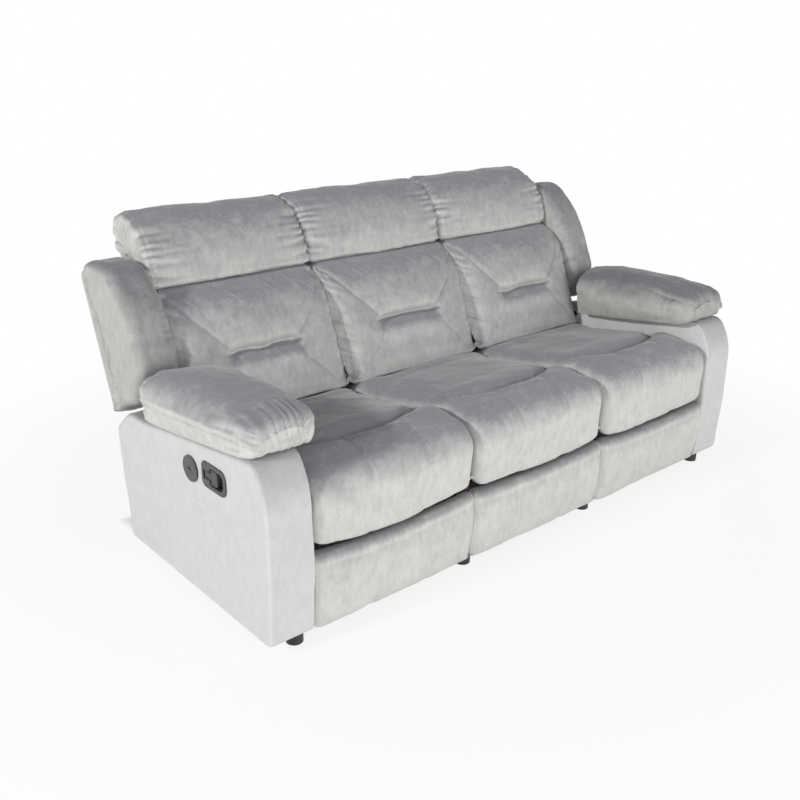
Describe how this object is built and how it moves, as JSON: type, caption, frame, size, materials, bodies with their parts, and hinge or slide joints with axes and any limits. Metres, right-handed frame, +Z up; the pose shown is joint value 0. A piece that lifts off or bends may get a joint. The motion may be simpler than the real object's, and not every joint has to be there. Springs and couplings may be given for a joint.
{
  "type": "reclining sofa",
  "caption": "Reclining sofa with padded arms, head rolls, side wings, fold-out footrests under the end seats, and release handles in the outer arm panels.",
  "frame": {"origin": "on the floor, under the centre of the sofa's bounding box at rest", "axes": "+X to the viewer's right along the width, the seats face -Y, +Z up"},
  "size_m": [2.0684, 1.0688, 1.0119],
  "materials": {
    "velvet_light": "short silver-grey pile, brushed",
    "velvet_side": "silver-grey pile, flat panels",
    "timber": "planed softwood and plywood",
    "steel_dark": "black powder coat",
    "spring_steel": "drawn wire",
    "grey_plastic": "fine-grained moulded plastic",
    "foot_plastic": "moulded plastic",
    "cable_jacket": "smooth extruded sleeve"
  },
  "bodies": {
    "base": {"arm_frames": "timber", "base_rails": "steel_dark", "charging_socket": "grey_plastic", "cross_tubes": "steel_dark", "feet": "foot_plastic", "frame_bolts": "spring_steel", "left_arm_cover": "velvet_side", "right_arm_cover": "velvet_side", "left_arm_pad": "velvet_light", "right_arm_pad": "velvet_light", "left_handle_bezel": "grey_plastic", "right_handle_bezel": "grey_plastic", "release_cables": "cable_jacket", "rear_panel": "velvet_side", "middle_seat_frame": "timber", "middle_seat_springs": "spring_steel", "middle_seat_cushion": "velvet_light", "middle_front_pad": "velvet_light", "middle_back_cushion": "velvet_light", "middle_head_roll": "velvet_light", "middle_back_cover": "velvet_side", "middle_back_frame": "timber"},
    "left_seat": {"left_seat_cushion": "velvet_light", "left_seat_frame": "timber", "left_seat_springs": "spring_steel", "left_side_plates": "steel_dark"},
    "left_back": {"left_back_cushion": "velvet_light", "left_head_roll": "velvet_light", "left_back_cover": "velvet_side", "left_back_frame": "timber", "left_back_brackets": "steel_dark", "left_wing": "velvet_light"},
    "left_lift": {"left_lift_links": "steel_dark"},
    "left_reach": {"left_reach_links": "steel_dark"},
    "left_control": {"left_control_links": "steel_dark"},
    "left_brace": {"left_brace_links": "steel_dark"},
    "left_footrest": {"left_footrest_pad": "velvet_light", "left_footrest_board": "timber", "left_footrest_ears": "steel_dark"},
    "left_paddle": {"left_release_paddle": "grey_plastic"},
    "left_trip": {"left_trip_lever": "steel_dark"},
    "right_seat": {"right_seat_cushion": "velvet_light", "right_seat_frame": "timber", "right_seat_springs": "spring_steel", "right_side_plates": "steel_dark"},
    "right_back": {"right_back_cushion": "velvet_light", "right_head_roll": "velvet_light", "right_back_cover": "velvet_side", "right_back_frame": "timber", "right_back_brackets": "steel_dark", "right_wing": "velvet_light"},
    "right_lift": {"right_lift_links": "steel_dark"},
    "right_reach": {"right_reach_links": "steel_dark"},
    "right_control": {"right_control_links": "steel_dark"},
    "right_brace": {"right_brace_links": "steel_dark"},
    "right_footrest": {"right_footrest_pad": "velvet_light", "right_footrest_board": "timber", "right_footrest_ears": "steel_dark"},
    "right_paddle": {"right_release_paddle": "grey_plastic"},
    "right_trip": {"right_trip_lever": "steel_dark"}
  },
  "joints": [
    {"name": "left_back_recline", "type": "hinge", "parent": "left_seat", "child": "left_back", "pos_m": [-0.584, 0.185, 0.3], "axis": [-1, 0, 0], "range_deg": [0, 32]},
    {"name": "left_seat_glide", "type": "slide", "parent": "base", "child": "left_seat", "axis": [0, -1, 0], "range_m": [0, 0.02501]},
    {"name": "left_footrest_lift", "type": "hinge", "parent": "left_seat", "child": "left_lift", "pos_m": [-0.584, -0.403, 0.228], "axis": [-1, 0, 0], "range_deg": [0, 92]},
    {"name": "left_footrest_reach", "type": "hinge", "parent": "left_lift", "child": "left_reach", "pos_m": [-0.584, -0.403, 0.06], "axis": [-1, 0, 0], "range_deg": [-154.2, 0]},
    {"name": "left_footrest_tilt", "type": "hinge", "parent": "left_reach", "child": "left_footrest", "pos_m": [-0.584, -0.42596, 0.22339], "axis": [-1, 0, 0], "range_deg": [0, 150.2]},
    {"name": "left_control_swing", "type": "hinge", "parent": "left_seat", "child": "left_control", "pos_m": [-0.584, -0.4489, 0.1836], "axis": [-1, 0, 0], "range_deg": [0, 108.5]},
    {"name": "left_brace_swing", "type": "hinge", "parent": "left_lift", "child": "left_brace", "pos_m": [-0.584, -0.375, 0.05735], "axis": [-1, 0, 0], "range_deg": [-154.9, 0]},
    {"name": "left_paddle_pull", "type": "hinge", "parent": "base", "child": "left_paddle", "pos_m": [-1.0145, -0.243, 0.437], "axis": [0, 0, -1], "range_deg": [0, 24], "stiffness_Nm_per_rad": 1.2, "springref_deg": -5.73},
    {"name": "left_trip_pull", "type": "hinge", "parent": "left_seat", "child": "left_trip", "pos_m": [-0.859, -0.215, 0.17], "axis": [-1, 0, 0], "range_deg": [-20, 0]},
    {"name": "right_back_recline", "type": "hinge", "parent": "right_seat", "child": "right_back", "pos_m": [0.584, 0.185, 0.3], "axis": [-1, 0, 0], "range_deg": [0, 32]},
    {"name": "right_seat_glide", "type": "slide", "parent": "base", "child": "right_seat", "axis": [0, -1, 0], "range_m": [0, 0.02501]},
    {"name": "right_footrest_lift", "type": "hinge", "parent": "right_seat", "child": "right_lift", "pos_m": [0.584, -0.403, 0.228], "axis": [-1, 0, 0], "range_deg": [0, 92]},
    {"name": "right_footrest_reach", "type": "hinge", "parent": "right_lift", "child": "right_reach", "pos_m": [0.584, -0.403, 0.06], "axis": [-1, 0, 0], "range_deg": [-154.2, 0]},
    {"name": "right_footrest_tilt", "type": "hinge", "parent": "right_reach", "child": "right_footrest", "pos_m": [0.584, -0.42596, 0.22339], "axis": [-1, 0, 0], "range_deg": [0, 150.2]},
    {"name": "right_control_swing", "type": "hinge", "parent": "right_seat", "child": "right_control", "pos_m": [0.584, -0.4489, 0.1836], "axis": [-1, 0, 0], "range_deg": [0, 108.5]},
    {"name": "right_brace_swing", "type": "hinge", "parent": "right_lift", "child": "right_brace", "pos_m": [0.584, -0.375, 0.05735], "axis": [-1, 0, 0], "range_deg": [-154.9, 0]},
    {"name": "right_paddle_pull", "type": "hinge", "parent": "base", "child": "right_paddle", "pos_m": [1.0145, -0.243, 0.437], "axis": [0, 0, 1], "range_deg": [0, 24], "stiffness_Nm_per_rad": 1.2, "springref_deg": -5.73},
    {"name": "right_trip_pull", "type": "hinge", "parent": "right_seat", "child": "right_trip", "pos_m": [0.859, -0.215, 0.17], "axis": [-1, 0, 0], "range_deg": [-20, 0]}
  ],
  "couplings": [
    {"joint": "left_seat_glide", "follows": "left_back_recline", "m_per_rad": 0.044762},
    {"joint": "left_footrest_reach", "follows": "left_footrest_lift", "ratio": -1.6739},
    {"joint": "left_footrest_tilt", "follows": "left_footrest_lift", "ratio": 1.6304},
    {"joint": "left_control_swing", "follows": "left_footrest_lift", "ratio": 1.1767},
    {"joint": "left_brace_swing", "follows": "left_footrest_lift", "ratio": -1.6814},
    {"joint": "left_trip_pull", "follows": "left_paddle_pull", "ratio": -0.8},
    {"joint": "right_seat_glide", "follows": "right_back_recline", "m_per_rad": 0.044762},
    {"joint": "right_footrest_reach", "follows": "right_footrest_lift", "ratio": -1.6739},
    {"joint": "right_footrest_tilt", "follows": "right_footrest_lift", "ratio": 1.6304},
    {"joint": "right_control_swing", "follows": "right_footrest_lift", "ratio": 1.1767},
    {"joint": "right_brace_swing", "follows": "right_footrest_lift", "ratio": -1.6814},
    {"joint": "right_trip_pull", "follows": "right_paddle_pull", "ratio": -0.8}
  ]
}
